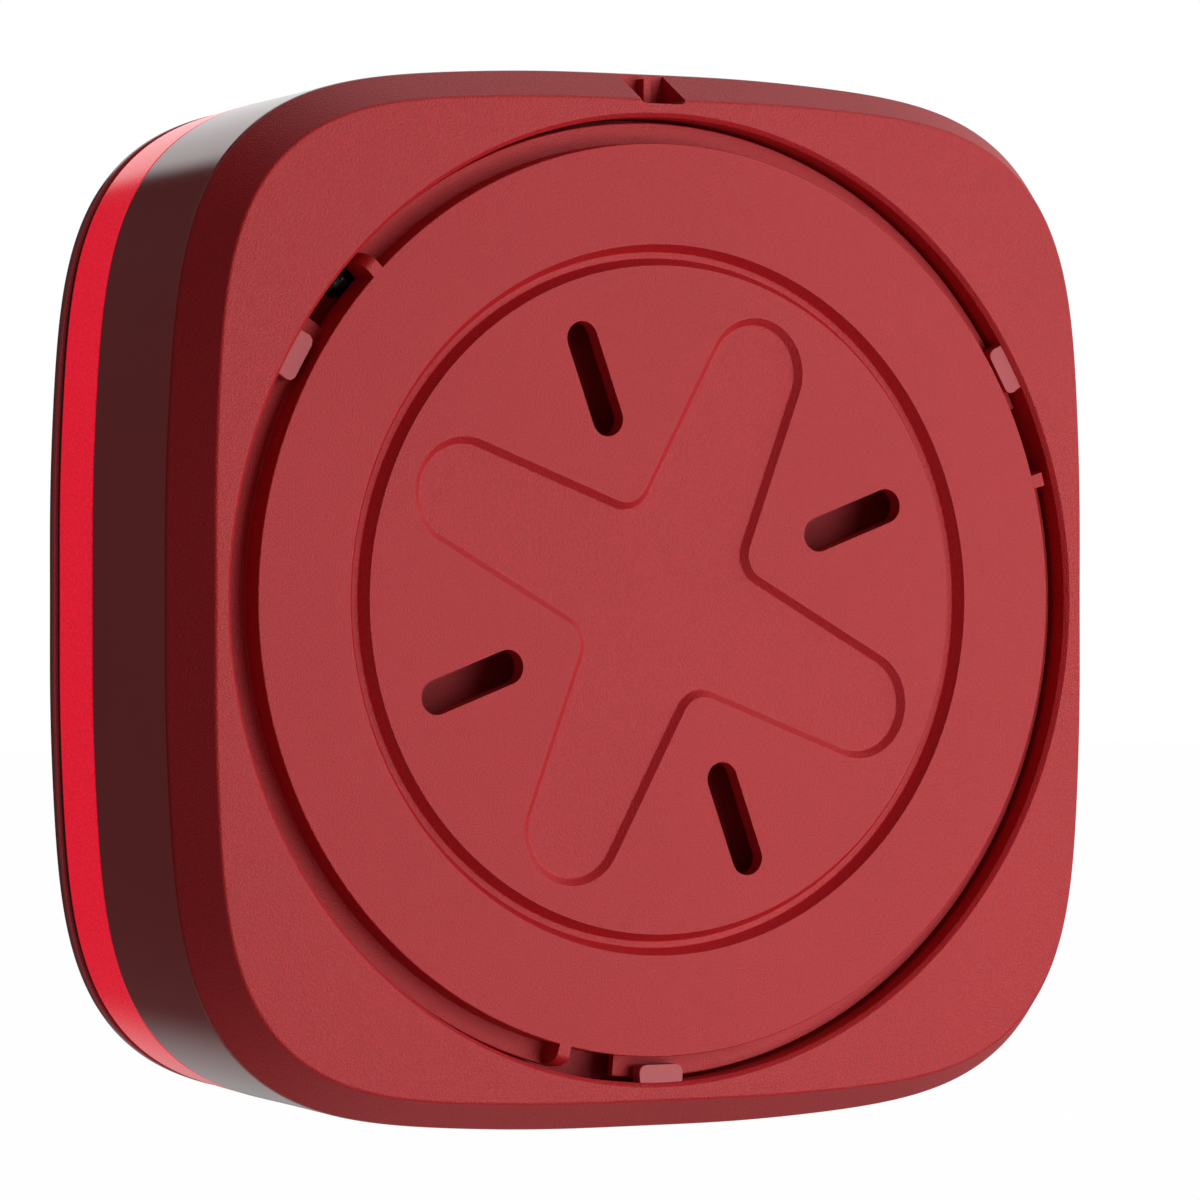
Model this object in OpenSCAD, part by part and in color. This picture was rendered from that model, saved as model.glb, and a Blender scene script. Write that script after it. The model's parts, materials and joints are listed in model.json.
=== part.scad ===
// Wall horn strobe: a rounded-square sounder with a light ring round its side, held on a
// wall by a round bayonet disc. +Z is up, the front faces -Y, and the origin is the centre
// of the disc's wall face. Inside the modules depth runs from the wall towards the front.

/* [Housing] */
// Width and height across the flat sides
housing_w = 165; // [160:1:175]
// Distance between opposite corners, along a diagonal
diagonal_w = 198.4; // [192:0.1:208]
// Depth from the wall to the front face
housing_depth = 56; // [55:0.5:60]
// Depth at which the rear shell meets the side band
shell_split = 8.4; // [8.2:0.1:9]
// Depth at which the side band meets the light ring
ring_start = 36.9; // [36.6:0.1:37.2]
// Depth at which the light ring ends
ring_end = 50.6; // [50.2:0.1:50.9]
// Wall thickness of the housing mouldings
wall = 2.4; // [2.2:0.1:2.6]

/* [Mounting disc] */
// Radius of the disc's flat wall face
disc_r = 71.1; // [70.5:0.1:71.5]
// Outer radius of the bayonet flange
flange_r = 74.5; // [74:0.1:74.6]
// Depth of the flange's rear face
flange_top = 4.4; // [4.2:0.1:4.6]
// Thickness of the flange
flange_t = 1.5; // [1.2:0.1:1.6]
// Thickness of the disc's plate
plate_t = 2.8; // [2.5:0.1:3]
// Width of each wall screw slot
slot_w = 5.4; // [5.3:0.1:6]
// Length of each wall screw slot
slot_l = 18.6; // [16:0.1:19]
// Distance of each slot's centre from the disc's centre
slot_r = 36.5; // [35:0.5:37]
// Height of the housing's rear face above the wall
wall_gap = 0.5; // [0.4:0.1:0.8]

/* [Recess and hooks] */
// Radius of the recess that takes the disc
recess_r = 75.2; // [75.1:0.1:75.4]
// Depth of the recess floor
recess_floor = 9.6; // [9.4:0.1:9.8]
// Width of each bayonet hook
hook_w = 7.8; // [7:0.1:8.2]

/* [Tamper and button] */
// Travel of the tamper plunger
plunger_travel = 1.5; // [1:0.1:1.6]
// Travel of the power button
button_travel = 0.4; // [0.3:0.05:0.5]

/* [Sounder] */
// Outer radius of the sounder frame
sounder_r = 31; // [30:0.5:31.5]
// Travel of the diaphragm each way
diaphragm_travel = 0.4; // [0.2:0.1:0.5]

/* [Hidden] */

$fn = 72;
slack = 0.1;
outline_points = 96;

// The outline is a rounded square given by its radius at each angle
shape_second = 1.27;
shape_third = 0.24;
outline_mid = (housing_w + diagonal_w) / 4 - shape_second;
outline_swing = (diagonal_w - housing_w) / 4 - shape_third;

chamfer_in = 4.6;
edge_round = 0.7;
ring_in_rear = 1.4;
ring_in_front = 2.35;
bezel_start = ring_end + 2;
cover_start = bezel_start + 0.8;
ring_wall = 2.6;

flange_end = flange_top + flange_t;
floor_in = recess_floor + wall;
tub_r = recess_r + 2.2;
bevel = 0.7;

slot_angle = -20.2;
cross_angle = 24.8;
cross_depth = 1;
cross_tip_r = 8.6;
cross_tip_at = 39.2;
cross_mid_r = 11.4;
cross_corner_r = 4;
cross_draft = 1.2;
groove_out = 55.35;
groove_in = 52.1;
groove_depth = 1.9;
groove_floor = 1.1;

hook_angle = 30;
hook_reach = 2.8;
hook_start = 1.3;
hook_t = 2.3;
rib_angle = 44.55;
rib_w = 2.15;
rib_land = 1.4;
notch_start = 35.45;

notch_w = 8;
notch_floor = 77.3;

board_z = 16;
board_t = 1.6;
board_half = 61;
board_screw_at = [30, 56];
boss_r = 68.5;
boss_angle = 15;
led_board_z = ring_start + 0.1;
led_board_t = 1.2;
led_count = 24;
cover_boss_at = 87;

plunger_at = 72.3;
plunger_angle = 42.7;
plunger_r = 2.2;
plunger_top = flange_end + 0.35;
switch_rear = board_z - 0.8;
fit = 0.08;

button_at = [0, -34];
button_r = 4;
button_switch = board_z - 2.4;

sounder_z = 21.6;
diaphragm_z = 38;
cover_t = 2.6;
grille_r = 28;
horn_end = housing_depth - cover_t - 1.3;
coil_r = 9.4;
coil_front = diaphragm_z - 2 - diaphragm_travel;
foot_r = 23;
foot_angle = 20;

cell_r = 8.5;
cell_l = 34.5;
contact_t = 0.3;
spring_l = 1.8;
bay_l = cell_l + spring_l + 2 * contact_t + 0.1;
cell_x = 50;
cell_z = 28.6;

pipe_at = [0, 60];

shell_red = [0.66, 0.20, 0.20];
band_maroon = [0.30, 0.08, 0.09];
ring_red = [0.90, 0.06, 0.14];
cover_maroon = [0.24, 0.06, 0.07];
board_green = [0.05, 0.30, 0.16];
metal = [0.72, 0.72, 0.74];
black = [0.06, 0.06, 0.07];

// Radius of the widest outline at an angle
function edge_r(a) =
    outline_mid - outline_swing * cos(4 * a) + shape_second * cos(8 * a)
    - shape_third * cos(12 * a);

// Points of the outline at each [depth, inset] station
function outline_at(stations) = [
    for (s = stations) for (i = [0 : outline_points - 1])
        let (a = i * 360 / outline_points, r = edge_r(a) - s[1]) [r * cos(a), r * sin(a), s[0]]
];

// Points along an arc, both ends included
function arc(centre, r, a0, a1, steps) = [
    for (i = [0 : steps])
        let (a = a0 + (a1 - a0) * i / steps) centre + r * [cos(a), sin(a)]
];

// Solid through a list of [depth, inset] stations, with a flat face at each end
module lofted(stations) {
    n = outline_points;
    rings = len(stations);
    sides = [
        for (k = [0 : rings - 2]) for (i = [0 : n - 1])
            let (j = (i + 1) % n) [k * n + i, (k + 1) * n + i, (k + 1) * n + j, k * n + j]
    ];
    rear = [for (i = [0 : n - 1]) i];
    front = [for (i = [n - 1 : -1 : 0]) (rings - 1) * n + i];
    polyhedron(outline_at(stations), concat([rear], sides, [front]));
}

// Ring whose cross-section is a closed loop of [depth, inset] stations, the outside first
module looped(stations) {
    n = outline_points;
    rings = len(stations);
    sides = [
        for (k = [0 : rings - 1]) for (i = [0 : n - 1])
            let (j = (i + 1) % n, m = (k + 1) % rings) [k * n + i, m * n + i, m * n + j, k * n + j]
    ];
    polyhedron(outline_at(stations), sides);
}

// Ring between two insets of the outline
module outline_ring(z, height, inset, width) {
    looped([[z, inset], [z + height, inset], [z + height, inset + width], [z, inset + width]]);
}

// Turns a module's depth axis towards the front
module front_facing() {
    rotate([90, 0, 0]) children();
}

module at_angle(a, r) {
    rotate([0, 0, a]) translate([r, 0, 0]) children();
}

// Repeats round the depth axis
module around(count, start) {
    for (k = [0 : count - 1]) rotate([0, 0, start + k * 360 / count]) children();
}

// Repeats at the board's four screws, at a depth
module around_board(z) {
    for (x = [-1, 1], y = [-1, 1])
        translate([x * board_screw_at[0], y * board_screw_at[1], z]) children();
}

module tube(z, height, outer, inner) {
    translate([0, 0, z]) difference() {
        cylinder(h = height, r = outer);
        translate([0, 0, -slack]) cylinder(h = height + 2 * slack, r = inner);
    }
}

// Ring sector from angle a0 to a1
module sector(z, height, outer, inner, a0, a1) {
    translate([0, 0, z]) rotate([0, 0, a0]) rotate_extrude(angle = a1 - a0)
        translate([inner, 0]) square([outer - inner, height]);
}

// Block centred in x and y, starting at a depth
module block(x, y, z, size) {
    translate([x - size[0] / 2, y - size[1] / 2, z]) cube(size);
}

// Coil of round wire along the depth axis
module coil(z, length, r, wire_r, turns, steps, sides) {
    count = turns * steps;
    points = [
        for (k = [0 : count]) for (i = [0 : sides - 1])
            let (
                turn = k * 360 / steps,
                around_wire = i * 360 / sides,
                reach = r + wire_r * cos(around_wire)
            )
            [reach * cos(turn), reach * sin(turn),
             z + wire_r + (length - 2 * wire_r) * k / count + wire_r * sin(around_wire)]
    ];
    skin = [
        for (k = [0 : count - 1]) for (i = [0 : sides - 1])
            let (j = (i + 1) % sides)
            [k * sides + i, k * sides + j, (k + 1) * sides + j, (k + 1) * sides + i]
    ];
    first = [for (i = [sides - 1 : -1 : 0]) i];
    last = [for (i = [0 : sides - 1]) count * sides + i];
    polyhedron(points, concat([first], skin, [last]));
}

// Pan head screw whose head's rear face is at a depth
module screw(z, head_r, head_t, shank_r, length) {
    translate([0, 0, z]) difference() {
        union() {
            cylinder(h = head_t, r1 = head_r * 0.86, r2 = head_r);
            cylinder(h = length, r = shank_r);
        }
        for (a = [0, 90]) rotate([0, 0, a])
            block(0, 0, -slack, [head_r * 1.1, head_r * 0.28, head_t * 0.6 + slack]);
    }
}

// Straight-sided slot along x, centred
module slot_shape(length, width) {
    reach = (length - width) / 2;
    square([2 * reach, width], center = true);
    for (x = [-reach, reach]) translate([x, 0]) circle(d = width);
}

// Cross of four tapered arms with round ends and filleted corners, grown by an amount
module cross_shape(grow) {
    lean = acos((cross_mid_r - cross_tip_r) / cross_tip_at);
    corner_at = (cross_mid_r + cross_corner_r) / cos(lean - 45);
    polygon([for (a = [cross_angle : 90 : cross_angle + 270]) each concat(
        arc(cross_tip_at * [cos(a), sin(a)], cross_tip_r + grow, a - lean, a + lean, 16),
        arc(corner_at * [cos(a + 45), sin(a + 45)], cross_corner_r - grow,
            a + lean + 180, a - lean + 270, 6)
    )]);
}

// Stop rib profile: a short land level with the disc face, then a round down to the flange
module rib_profile() {
    reach = flange_r - 0.1 - disc_r - rib_land;
    polygon(concat(
        [[disc_r - 2, 0], [disc_r - 2, flange_end], [disc_r + rib_land + reach, flange_end]],
        [for (a = [90 : -10 : 0]) [disc_r + rib_land + reach * sin(a), flange_top * (1 - cos(a))]]
    ));
}

module mounting_disc() {
    skirt = 2.2;
    edge = 0.4;
    color(shell_red) front_facing() difference() {
        union() {
            rotate_extrude() polygon([
                [0, 0], [disc_r - edge, 0], [disc_r, edge], [disc_r, flange_top],
                [flange_r, flange_top], [flange_r, flange_end], [disc_r - skirt, flange_end],
                [disc_r - skirt, plate_t], [groove_out + 1.2, plate_t],
                [groove_out, plate_t + 1], [groove_in, plate_t + 1],
                [groove_in - 1.2, plate_t], [0, plate_t]
            ]);
            around(3, rib_angle) rotate([90, 0, 0]) translate([0, 0, -rib_w / 2])
                linear_extrude(rib_w) rib_profile();
        }
        rotate_extrude() polygon([
            [groove_out, -slack], [groove_out, 0],
            [(groove_out + groove_in + groove_floor) / 2, groove_depth],
            [(groove_out + groove_in - groove_floor) / 2, groove_depth],
            [groove_in, 0], [groove_in, -slack]
        ]);
        translate([0, 0, -slack]) linear_extrude(cross_depth + slack) cross_shape(-cross_draft / 2);
        around(4, slot_angle) translate([slot_r, 0, -slack])
            linear_extrude(plate_t + 2 * slack) slot_shape(slot_l, slot_w);
        rib_half = asin(rib_w / 2 / disc_r);
        for (k = [0 : 2]) sector(flange_top - slack, flange_t + 2 * slack, flange_r + slack,
            disc_r + 0.2, notch_start + 120 * k, rib_angle - rib_half + 120 * k);
    }
}

// Bayonet hook that reaches inwards over the disc's flange
module hook() {
    inner = recess_r - hook_reach;
    corner = 1;
    translate([0, 0, hook_start]) linear_extrude(hook_t) {
        translate([inner + corner, -hook_w / 2]) square([hook_reach + 0.6, hook_w]);
        translate([inner, -hook_w / 2 + corner]) square([corner, hook_w - 2 * corner]);
        for (side = [-1, 1]) translate([inner + corner, side * (hook_w / 2 - corner)])
            circle(r = corner);
    }
}

module rear_shell() {
    spigot_end = shell_split + 4.6;
    pocket_end = shell_split - 0.6;
    color(shell_red) front_facing() difference() {
        union() {
            difference() {
                union() {
                    lofted([
                        [wall_gap, chamfer_in + edge_round],
                        [wall_gap + 0.25, chamfer_in + 0.2],
                        [wall_gap + edge_round, chamfer_in - 0.15],
                        [shell_split - 0.3, 0.3], [shell_split, 0.1]
                    ]);
                    lofted([[shell_split - 0.2, wall + 0.5], [spigot_end, wall + 0.5]]);
                }
                lofted([
                    [wall_gap + 2.5, 7.4], [shell_split, wall + 2.4],
                    [spigot_end + slack, wall + 2.4]
                ]);
            }
            translate([0, 0, wall_gap + 2]) cylinder(h = floor_in - wall_gap - 2, r = tub_r);
            block(0, notch_floor, wall_gap + 1, [notch_w + 3, 4, shell_split - wall_gap]);
            around_board(recess_floor)
                cylinder(h = board_z - recess_floor, r = 3);
            at_angle(plunger_angle, plunger_at) translate([0, 0, recess_floor])
                cylinder(h = 5.4, r = 3.9);
        }
        translate([0, 0, -slack]) cylinder(h = recess_floor + slack, r = recess_r);
        translate([0, 0, wall_gap]) cylinder(h = bevel, r1 = recess_r + bevel, r2 = recess_r);
        difference() {
            block(0, notch_floor + 5, 0, [notch_w, 10, pocket_end]);
            block(0, notch_floor + 5, pocket_end - 2.1, [1.2, 10, 3]);
        }
        at_angle(plunger_angle, plunger_at) {
            translate([0, 0, recess_floor - slack]) cylinder(h = 3, r = plunger_r + fit);
            translate([0, 0, recess_floor - slack]) cylinder(h = 1.1, r = 2.8);
            translate([0, 0, recess_floor + 1.8]) cylinder(h = 4, r = 3.1);
        }
        translate([button_at[0], button_at[1], recess_floor - slack])
            cylinder(h = wall + 2 * slack, r = button_r + fit);
        around(4, boss_angle) translate([boss_r, 0, recess_floor - slack])
            cylinder(h = wall + 2 * slack, r = 1.8);
        around_board(recess_floor + 1.6)
            cylinder(h = board_z - recess_floor, r = 1.4);
    }
    color(shell_red) front_facing() around(3, hook_angle) hook();
}

module side_band() {
    ledge_z = shell_split + 5.8;
    ledge_in = wall + 2.4;
    rim_z = ring_start - 1.6;
    rim_in = ring_in_rear + wall + 4;
    lug_z = ring_start - 4;
    color(band_maroon) front_facing() difference() {
        union() {
            looped([
                [shell_split + 0.1, 0.3], [shell_split + 0.5, 0],
                [ring_start - 0.4, ring_in_rear - 0.05], [ring_start, ring_in_rear + 0.2],
                [ring_start, rim_in], [rim_z, rim_in], [rim_z, ring_in_rear + wall],
                [ledge_z + 2, wall + 0.4], [ledge_z + 2, ledge_in], [ledge_z, ledge_in],
                [ledge_z, wall + 0.3], [shell_split + 0.1, wall]
            ]);
            around(4, boss_angle) {
                translate([boss_r, 0, floor_in + slack]) cylinder(h = 12, r = 4);
                block(boss_r + 8.4, 0, ledge_z + 0.5, [13, 2.2, 8]);
            }
            around(4, 45) {
                translate([cover_boss_at, 0, lug_z]) cylinder(h = 3.4, r = 4.2);
                block(cover_boss_at + 5, 0, lug_z, [9, 6, 3.4]);
            }
        }
        around(4, boss_angle) translate([boss_r, 0, floor_in])
            cylinder(h = 10, r = 1.25);
        around(4, 45) translate([cover_boss_at, 0, lug_z - slack]) cylinder(h = 4, r = 1.8);
    }
}

module light_ring() {
    color(ring_red) front_facing() looped([
        [ring_start + 0.1, ring_in_rear + 0.15], [ring_start + 0.4, ring_in_rear],
        [ring_end - 0.3, ring_in_front], [ring_end, ring_in_front + 0.25],
        [ring_end, ring_in_front + ring_wall], [ring_start + 0.1, ring_in_rear + ring_wall]
    ]);
}

module front_gasket() {
    color(black) front_facing()
        outline_ring(ring_end, bezel_start - ring_end, ring_in_front + 1.4, 1.4);
}

module front_bezel() {
    color(shell_red) front_facing()
        outline_ring(bezel_start, cover_start - bezel_start, ring_in_front + 0.1, 2.7);
}

module front_cover() {
    skirt_in = ring_in_front + ring_wall + 0.3;
    boss_start = ring_start - 0.5;
    skirt_start = cover_start - 5.6;
    color(cover_maroon) front_facing() difference() {
        union() {
            lofted([
                [housing_depth - cover_t, 7], [skirt_start, 6.8], [skirt_start, skirt_in],
                [cover_start, skirt_in], [cover_start, 2.6], [cover_start + 0.9, 2.55],
                [housing_depth - 1, 3.2], [housing_depth - 0.4, 4.3], [housing_depth, 8]
            ]);
            around(4, 45) translate([cover_boss_at, 0, boss_start])
                cylinder(h = housing_depth - 1.2 - boss_start, r = 3.4);
        }
        translate([0, 0, housing_depth - 4]) cylinder(h = 5, r = grille_r + slack);
        around(4, 45) translate([cover_boss_at, 0, boss_start - slack]) cylinder(h = 10, r = 1.2);
        translate([pipe_at[0], pipe_at[1], housing_depth - 4]) cylinder(h = 5, r = 1.6);
    }
}

// Round grille with rows of arc slots
module sound_grille() {
    slot = 1.8;
    bar = 3;
    color(cover_maroon) front_facing() translate([0, 0, housing_depth - cover_t]) difference() {
        union() {
            cylinder(h = cover_t - 0.3, r = grille_r);
            translate([0, 0, -0.6]) cylinder(h = 0.6, r = grille_r + 1.6);
        }
        for (row = [0 : 4]) {
            r = 5 + row * 4.4;
            count = 3 + row;
            gap = bar / r * 180 / PI;
            for (k = [0 : count - 1])
                sector(-1, cover_t + 2, r + slot, r, k * 360 / count + gap / 2,
                    (k + 1) * 360 / count - gap / 2);
        }
    }
}

module perimeter_gasket() {
    color(black) front_facing() outline_ring(shell_split + 4.6, 1.2, wall + 0.6, 1.6);
}

module ring_reflector() {
    color("white") front_facing() difference() {
        union() {
            outline_ring(led_board_z + led_board_t, ring_end - led_board_z - led_board_t - 1,
                16.5, 1.2);
            outline_ring(led_board_z + led_board_t, 1, 13.5, 3.2);
        }
        around(4, 45) translate([cover_boss_at, 0, led_board_z]) cylinder(h = 14, r = 4);
    }
}

module led_board() {
    color("white") front_facing() difference() {
        outline_ring(led_board_z, led_board_t, 5.8, 13);
        around(4, 45) translate([cover_boss_at, 0, led_board_z - slack]) cylinder(h = 2, r = 4);
    }
}

module strobe_leds() {
    color([0.95, 0.9, 0.6]) front_facing() for (k = [0 : led_count - 1]) {
        a = (k + 0.5) * 360 / led_count;
        at_angle(a, edge_r(a) - 10.2) {
            block(0, 0, led_board_z + led_board_t, [3.5, 3.5, 0.8]);
            translate([0, 0, led_board_z + led_board_t + 0.8]) cylinder(h = 0.7, r = 1.3);
        }
    }
}

module main_board() {
    cut = 12;
    edge = board_half;
    color(board_green) front_facing() difference() {
        translate([0, 0, board_z]) linear_extrude(board_t) polygon([
            [edge - cut, -edge], [edge, cut - edge], [edge, edge - cut], [edge - cut, edge],
            [cut - edge, edge], [-edge, edge - cut], [-edge, cut - edge], [cut - edge, -edge]
        ]);
        around_board(board_z - slack)
            cylinder(h = board_t + 2 * slack, r = 1.6);
        around(3, foot_angle) translate([foot_r, 0, board_z - slack])
            cylinder(h = board_t + 2 * slack, r = 1.3);
    }
}

module processor_chip() {
    color(black) front_facing() block(-16, 48, board_z + board_t, [9, 9, 1.1]);
}

module driver_chip() {
    color(black) front_facing() block(12, 47, board_z + board_t, [7, 5, 1.5]);
}

module radio_module() {
    color(metal) front_facing() block(-18, -48, board_z + board_t, [16, 12, 2.4]);
}

module storage_capacitors() {
    color([0.15, 0.15, 0.2]) front_facing() for (x = [18, 29])
        translate([x, -46, board_z + board_t]) cylinder(h = 12, r = 4);
}

module boost_inductor() {
    color([0.25, 0.24, 0.23]) front_facing()
        translate([22, 46, board_z + board_t]) cylinder(h = 4, r = 3.6);
}

module antenna() {
    rise = 8;
    wire_r = 0.6;
    color(metal) front_facing() translate([-22, -56, board_z + board_t]) {
        cylinder(h = rise, r = wire_r);
        translate([0, 0, rise]) sphere(r = wire_r);
        translate([0, 0, rise]) rotate([0, 90, 0]) cylinder(h = 44, r = wire_r);
    }
}

module led_cable() {
    z = board_z + board_t;
    color("white") front_facing() {
        block(0, -58.5, z, [9, 3, 3]);
        block(0, -58.5, z + 3, [8, 0.6, led_board_z - z - 5]);
        block(0, -62.3, led_board_z - 2.6, [8, 8.2, 0.6]);
        block(0, -66, led_board_z - 2, [8, 0.8, 2]);
    }
}

module sounder_frame() {
    z = sounder_z;
    feet_z = board_z + board_t;
    color(black) front_facing() difference() {
        union() {
            rotate_extrude() polygon([
                [17, z], [27, z], [27, z + 8], [sounder_r, z + 12], [sounder_r, diaphragm_z],
                [sounder_r - 5, diaphragm_z], [sounder_r - 5, diaphragm_z - 1.4],
                [sounder_r - 2, diaphragm_z - 1.4], [sounder_r - 2, z + 12.8], [25.2, z + 9],
                [25.2, z + 2], [17, z + 2]
            ]);
            around(3, foot_angle) translate([foot_r, 0, feet_z]) cylinder(h = z - feet_z + 1, r = 2.6);
        }
        around(3, foot_angle) translate([foot_r, 0, feet_z - slack]) cylinder(h = 8, r = 1.3);
    }
}

module sounder_yoke() {
    z = sounder_z - 0.6;
    color(metal) front_facing() rotate_extrude() polygon([
        [0, z], [16.9, z], [16.9, z + 12], [10.8, z + 12], [10.8, z + 9.5],
        [14.4, z + 9.5], [14.4, z + 2.5], [0, z + 2.5]
    ]);
}

module sounder_magnet() {
    color([0.45, 0.45, 0.48]) front_facing()
        translate([0, 0, sounder_z + 1.9]) cylinder(h = 6.9, r = 8);
}

module sounder_pole() {
    color(metal) front_facing() translate([0, 0, sounder_z + 8.8]) cylinder(h = 2.6, r = 8.4);
}

module sounder_diaphragm() {
    film = 0.3;
    dome = 1.8;
    cone = 1.3;
    color([0.75, 0.68, 0.5]) front_facing() translate([0, 0, coil_front]) rotate_extrude() polygon([
        [0, dome], [3, dome - 0.2], [coil_r - 0.5, 0], [coil_r + 0.5, 0], [20, cone],
        [21.5, 0.5], [23.5, 0.5], [25.4, cone + 0.1], [25.4, cone + 0.1 + film],
        [23.4, 0.5 + film], [21.6, 0.5 + film], [20, cone + film], [coil_r + 0.6, film],
        [coil_r - 0.6, film], [3, dome - 0.2 + film], [0, dome + film]
    ]);
}

module voice_coil() {
    rear = sounder_z + 8.6;
    color([0.72, 0.40, 0.2]) front_facing() tube(rear, coil_front - rear, coil_r + 0.5, coil_r - 0.4);
}

module horn_flare() {
    z = diaphragm_z;
    rise = horn_end - z;
    flare = [for (t = [0 : 0.125 : 1]) [7 + 17 * pow(t, 2.2), z + 1.2 + (rise - 1.2) * t]];
    outer = [for (t = [1 : -0.125 : 0]) [8.6 + 17 * pow(t, 2.2), z + 1.2 + (rise - 1.2) * t]];
    color(black) front_facing() {
        rotate_extrude() polygon(concat(flare, outer));
        tube(z, 1.6, sounder_r, 7.4);
    }
}

module sounder_gasket() {
    color(black) front_facing() tube(horn_end, 0.7, 26.6, 24.2);
}

module acoustic_mesh() {
    color([0.2, 0.2, 0.22]) front_facing() translate([0, 0, horn_end + 0.1]) cylinder(h = 0.3, r = 24);
}

module sounder_leads() {
    lead_r = 0.5;
    lead_l = 11;
    color("crimson") front_facing() for (side = [-1, 1])
        translate([side * 1.6, 27.6, board_z + board_t]) {
            cylinder(h = lead_l, r = lead_r);
            translate([0, 0, lead_l]) sphere(r = lead_r);
            translate([0, 0, lead_l]) rotate([90, 0, 0]) cylinder(h = 0.55, r = lead_r);
        }
}

module sounder_screws() {
    head_t = 1.6;
    color(metal) front_facing() around(3, foot_angle) translate([foot_r, 0, 0]) mirror([0, 0, 1])
        screw(-sounder_z - 2 - head_t, 2.2, head_t, 1.2, 9.4);
}

module battery_holder(side) {
    rear = board_z + board_t;
    size = [20, 2 * bay_l + 3.4, 12];
    color(black) front_facing() difference() {
        block(side * cell_x, 0, rear, size);
        translate([side * cell_x, 0, cell_z]) rotate([90, 0, 0])
            cylinder(h = size[1] - 3, r = cell_r + 0.3, center = true);
        block(side * cell_x, 0, cell_z, [2 * cell_r + 0.6, size[1] - 3, 10]);
    }
}

module battery_holder_left() {
    battery_holder(-1);
}

module battery_holder_right() {
    battery_holder(1);
}

// One cylindrical cell with its raised positive end
module battery_cell() {
    body_l = cell_l - 1.2;
    rotate([-90, 0, 0]) {
        cylinder(h = body_l, r = cell_r);
        translate([0, 0, body_l]) cylinder(h = 1.2, r = 3.6);
    }
}

module battery_cells() {
    color([0.85, 0.75, 0.2]) front_facing() for (side = [-1, 1], start = [-bay_l, 0])
        translate([side * cell_x, start + contact_t + spring_l, cell_z]) battery_cell();
}

module battery_contacts() {
    ends = [0, contact_t + spring_l + cell_l];
    color(metal) front_facing() for (side = [-1, 1], start = [-bay_l, 0], end = ends)
        translate([side * cell_x - 5, start + end, cell_z - 6]) cube([10, contact_t, 12]);
}

module battery_springs() {
    color(metal) front_facing() for (side = [-1, 1], start = [-bay_l, 0])
        translate([side * cell_x, start + contact_t, cell_z]) rotate([-90, 0, 0])
            coil(0, spring_l, 3, 0.25, 2, 16, 6);
}

module shell_screws() {
    color(metal) front_facing() around(4, boss_angle) translate([boss_r, 0, 0])
        screw(recess_floor - 2, 3, 2, 1.2, 11);
}

module board_screws() {
    head_t = 1.6;
    color(metal) front_facing() around_board(0) mirror([0, 0, 1])
        screw(-board_z - board_t - head_t, 2.6, head_t, 1.35, 6);
}

module cover_screws() {
    color(metal) front_facing() around(4, 45) translate([cover_boss_at, 0, 0])
        screw(ring_start - 6, 3, 2, 1.15, 12);
}

module tamper_plunger() {
    top = plunger_top;
    cap = 2.7;
    stem_end = switch_rear - 0.2 - plunger_travel;
    dome = [for (a = [90 : -10 : 0]) [cap * cos(a), top + cap * (1 - sin(a))]];
    color(black) front_facing() at_angle(plunger_angle, plunger_at) rotate_extrude() polygon(concat(
        dome, [[plunger_r, top + cap], [plunger_r, recess_floor + 2], [2.9, recess_floor + 2],
        [2.9, recess_floor + 3], [1.2, recess_floor + 3], [1.2, stem_end], [0, stem_end]]
    ));
}

module tamper_spring() {
    start = recess_floor + 3;
    color(metal) front_facing() at_angle(plunger_angle, plunger_at)
        coil(start, switch_rear - start, 1.9, 0.15, 3, 16, 6);
}

// Flat dome switch under the plunger's spring
module tamper_switch() {
    color(black) front_facing() at_angle(plunger_angle, plunger_at)
        block(0, 0, switch_rear, [5, 5, board_z - switch_rear]);
}

module power_button() {
    top = recess_floor - 1;
    flange_front = button_switch - 0.3 - button_travel;
    color([0.9, 0.9, 0.9]) front_facing() translate([button_at[0], button_at[1], 0])
        rotate_extrude() polygon([
            [0, top], [button_r - 0.4, top], [button_r, top + 0.4], [button_r, floor_in + 0.2],
            [button_r + 1, floor_in + 0.2], [button_r + 1, flange_front], [0, flange_front]
        ]);
}

module button_seal() {
    color(black) front_facing() translate([button_at[0], button_at[1], 0])
        tube(floor_in, 1.6, button_r + 2.6, button_r + 1.3);
}

module power_switch() {
    color(metal) front_facing() translate([button_at[0], button_at[1], 0]) {
        block(0, 0, board_z - 1.6, [6, 6, 1.6]);
        translate([0, 0, button_switch]) cylinder(h = 0.8, r = 1.7);
    }
}

module status_light_pipe() {
    color([0.9, 0.9, 0.95]) front_facing() translate([pipe_at[0], pipe_at[1], 0]) {
        translate([0, 0, board_z + board_t + 1.4])
            cylinder(h = housing_depth - board_z - board_t - 1.4, r = 1.5);
        translate([0, 0, housing_depth - 4.4]) cylinder(h = 1, r = 2.6);
    }
}

module status_led() {
    color([0.8, 0.1, 0.1]) front_facing()
        block(pipe_at[0], pipe_at[1] - 0.5, board_z + board_t, [1.6, 1, 0.9]);
}

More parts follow.
